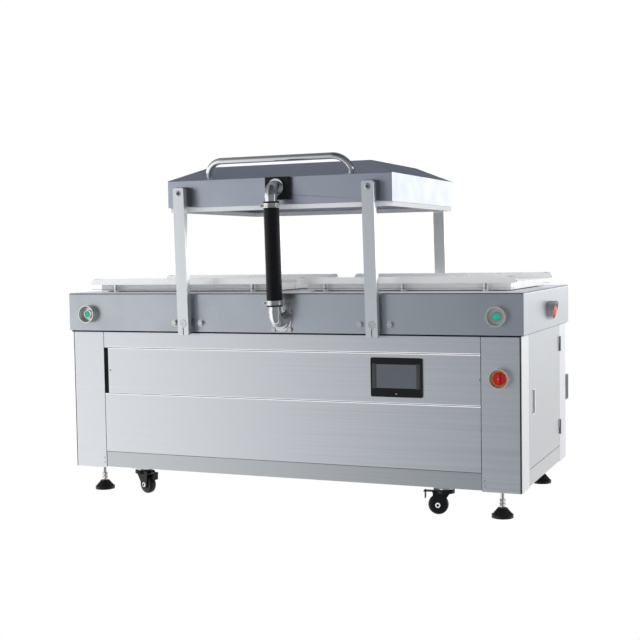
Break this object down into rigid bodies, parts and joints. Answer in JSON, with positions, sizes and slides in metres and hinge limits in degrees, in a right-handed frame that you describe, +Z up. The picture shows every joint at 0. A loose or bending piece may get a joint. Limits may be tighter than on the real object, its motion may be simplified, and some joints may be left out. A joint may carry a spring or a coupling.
{
  "type": "double-chamber vacuum packing machine",
  "caption": "Stainless steel floor-standing vacuum packing machine whose level lid swings on parallel arms over the left or right chamber.",
  "frame": {"origin": "on the floor under the middle of the deck", "axes": "+X along the front to the operator's right, -Y towards the operator, +Z up"},
  "size_m": [1.933, 0.9995, 1.3488],
  "materials": {
    "stainless_brushed": "horizontally brushed stainless steel",
    "stainless_satin": "fine bead-blasted stainless steel",
    "stainless_dark": "mill-finish stainless steel, welded",
    "zinc_steel": "bright zinc-plated hardware",
    "polished_steel": "polished stainless steel",
    "ground_steel": "ground shaft steel",
    "bearing_iron": "painted cast housing",
    "aluminium": "anodised extrusion",
    "white_board": "white food-grade polyethylene",
    "black_plastic": "black moulded plastic",
    "black_rubber": "black rubber",
    "gasket_rubber": "light grey silicone",
    "silicone_red": "heat-resistant silicone",
    "screen_black": "dark touch screen",
    "green_lens": "translucent green lens",
    "red_gloss": "glossy red plastic",
    "caster_black": "black nylon and rubber tread",
    "machine_blue": "painted casting",
    "box_grey": "powder-coated steel",
    "copper_core": "varnished windings on laminated core"
  },
  "bodies": {
    "base": {"base_frame": "stainless_dark", "floor_tray": "stainless_dark", "deck": "stainless_satin", "corner_posts": "stainless_brushed", "front_top_strip": "stainless_brushed", "control_panel": "stainless_brushed", "lower_front_panel": "stainless_brushed", "kick_strips": "stainless_brushed", "rear_panel": "stainless_brushed", "door_hinge_leaves": "polished_steel", "screen_bezel": "black_plastic", "screen_glass": "screen_black", "switch_guards": "polished_steel", "bar_lift_rams": "ground_steel", "filler_boards": "white_board", "shaft_bearings": "bearing_iron", "bearing_bolts": "zinc_steel", "hose_flange": "polished_steel", "flange_bolts": "zinc_steel", "foot_pads": "black_rubber", "foot_studs": "zinc_steel", "caster_mounts": "zinc_steel", "vacuum_pump": "machine_blue", "pump_motor": "box_grey", "suction_manifold": "machine_blue", "sealing_transformer": "copper_core", "control_box": "box_grey", "power_connector": "black_plastic"},
    "left_link": {"arms_left": "stainless_satin", "shaft_left": "ground_steel"},
    "right_link": {"arms_right": "stainless_satin", "shaft_right": "ground_steel"},
    "lid": {"lid_shell": "stainless_satin", "lid_gasket": "gasket_rubber", "counter_bars": "aluminium", "silicone_strips": "silicone_red", "lid_handle": "polished_steel", "arm_blocks": "bearing_iron", "hose_port_plate": "black_plastic"},
    "hose_link": {"hose_elbows": "polished_steel", "hose": "black_rubber", "hose_clamps": "zinc_steel"},
    "bar_left_front": {"seal_bar_left_front": "aluminium"},
    "bar_left_rear": {"seal_bar_left_rear": "aluminium"},
    "bar_right_front": {"seal_bar_right_front": "aluminium"},
    "bar_right_rear": {"seal_bar_right_rear": "aluminium"},
    "door_right": {"side_door_right": "stainless_brushed"},
    "door_left": {"side_door_left": "stainless_brushed"},
    "main_switch": {"main_switch_knob": "red_gloss"},
    "start_left": {"start_button_left": "green_lens"},
    "start_right": {"start_button_right": "green_lens"},
    "estop": {"estop_button": "red_gloss"},
    "caster_left": {"caster_fork_left_front": "black_plastic"},
    "caster_right": {"caster_fork_right_front": "black_plastic"},
    "pedal_left": {"brake_pedal_left_front": "zinc_steel"},
    "pedal_right": {"brake_pedal_right_front": "zinc_steel"},
    "wheel_left_front": {"caster_wheel_left_front": "caster_black"},
    "wheel_right_front": {"caster_wheel_right_front": "caster_black"},
    "wheel_left_rear": {"caster_wheel_left_rear": "caster_black"},
    "wheel_right_rear": {"caster_wheel_right_rear": "caster_black"}
  },
  "joints": [
    {"name": "lid_swing", "type": "hinge", "parent": "base", "child": "left_link", "pos_m": [-0.394, 0, 0.705], "axis": [0, 1, 0], "range_deg": [-66.5, 68.5]},
    {"name": "right_arm_swing", "type": "hinge", "parent": "base", "child": "right_link", "pos_m": [0.394, 0, 0.705], "axis": [0, 1, 0], "range_deg": [-66.5, 68.5]},
    {"name": "hose_swing", "type": "hinge", "parent": "base", "child": "hose_link", "pos_m": [0.015, 0, 0.717], "axis": [0, 1, 0], "range_deg": [-66.5, 68.5]},
    {"name": "lid_level", "type": "hinge", "parent": "left_link", "child": "lid", "pos_m": [-0.40287, 0, 1.21292], "axis": [0, 1, 0], "range_deg": [-68.5, 66.5]},
    {"name": "seal_lift_left_front", "type": "slide", "parent": "base", "child": "bar_left_front", "axis": [0, 0, 1], "range_m": [0, 0.006]},
    {"name": "seal_lift_left_rear", "type": "slide", "parent": "base", "child": "bar_left_rear", "axis": [0, 0, 1], "range_m": [0, 0.006]},
    {"name": "seal_lift_right_front", "type": "slide", "parent": "base", "child": "bar_right_front", "axis": [0, 0, 1], "range_m": [0, 0.006]},
    {"name": "seal_lift_right_rear", "type": "slide", "parent": "base", "child": "bar_right_rear", "axis": [0, 0, 1], "range_m": [0, 0.006]},
    {"name": "door_swing_right", "type": "hinge", "parent": "base", "child": "door_right", "pos_m": [0.943, 0.276, 0.42], "axis": [0, 0, 1], "range_deg": [0, 100]},
    {"name": "door_swing_left", "type": "hinge", "parent": "base", "child": "door_left", "pos_m": [-0.943, 0.276, 0.42], "axis": [0, 0, -1], "range_deg": [0, 100]},
    {"name": "main_switch_turn", "type": "hinge", "parent": "base", "child": "main_switch", "pos_m": [0.862, -0.42, 0.516], "axis": [0, 1, 0], "range_deg": [0, 90]},
    {"name": "start_press_left", "type": "slide", "parent": "base", "child": "start_left", "axis": [0, 1, 0], "range_m": [0, 0.003], "stiffness_N_per_m": 600, "springref_m": -0.002},
    {"name": "start_press_right", "type": "slide", "parent": "base", "child": "start_right", "axis": [0, 1, 0], "range_m": [0, 0.003], "stiffness_N_per_m": 600, "springref_m": -0.002},
    {"name": "estop_press", "type": "slide", "parent": "base", "child": "estop", "axis": [-1, 0, 0], "range_m": [0, 0.003]},
    {"name": "caster_swivel_left", "type": "hinge", "parent": "base", "child": "caster_left", "pos_m": [-0.643, -0.366, 0.09], "axis": [0, 0, 1], "continuous": true},
    {"name": "wheel_roll_left_front", "type": "hinge", "parent": "caster_left", "child": "wheel_left_front", "pos_m": [-0.61857, -0.37489, 0.0395], "axis": [0.342, 0.9397, 0], "continuous": true},
    {"name": "brake_press_left", "type": "hinge", "parent": "caster_left", "child": "pedal_left", "pos_m": [-0.60071, -0.38139, 0.087], "axis": [0.342, 0.9397, 0], "range_deg": [0, 12]},
    {"name": "wheel_roll_left_rear", "type": "hinge", "parent": "base", "child": "wheel_left_rear", "pos_m": [-0.669, 0.366, 0.0395], "axis": [0, -1, 0], "continuous": true},
    {"name": "caster_swivel_right", "type": "hinge", "parent": "base", "child": "caster_right", "pos_m": [0.643, -0.366, 0.09], "axis": [0, 0, 1], "continuous": true},
    {"name": "wheel_roll_right_front", "type": "hinge", "parent": "caster_right", "child": "wheel_right_front", "pos_m": [0.6174, -0.37051, 0.0395], "axis": [0.1736, -0.9848, 0], "continuous": true},
    {"name": "brake_press_right", "type": "hinge", "parent": "caster_right", "child": "pedal_right", "pos_m": [0.59868, -0.37381, 0.087], "axis": [0.1736, -0.9848, 0], "range_deg": [0, 12]},
    {"name": "wheel_roll_right_rear", "type": "hinge", "parent": "base", "child": "wheel_right_rear", "pos_m": [0.617, 0.366, 0.0395], "axis": [0, -1, 0], "continuous": true}
  ],
  "couplings": [
    {"joint": "right_arm_swing", "follows": "lid_swing", "ratio": 1},
    {"joint": "hose_swing", "follows": "lid_swing", "ratio": 1},
    {"joint": "lid_level", "follows": "lid_swing", "ratio": -1}
  ]
}
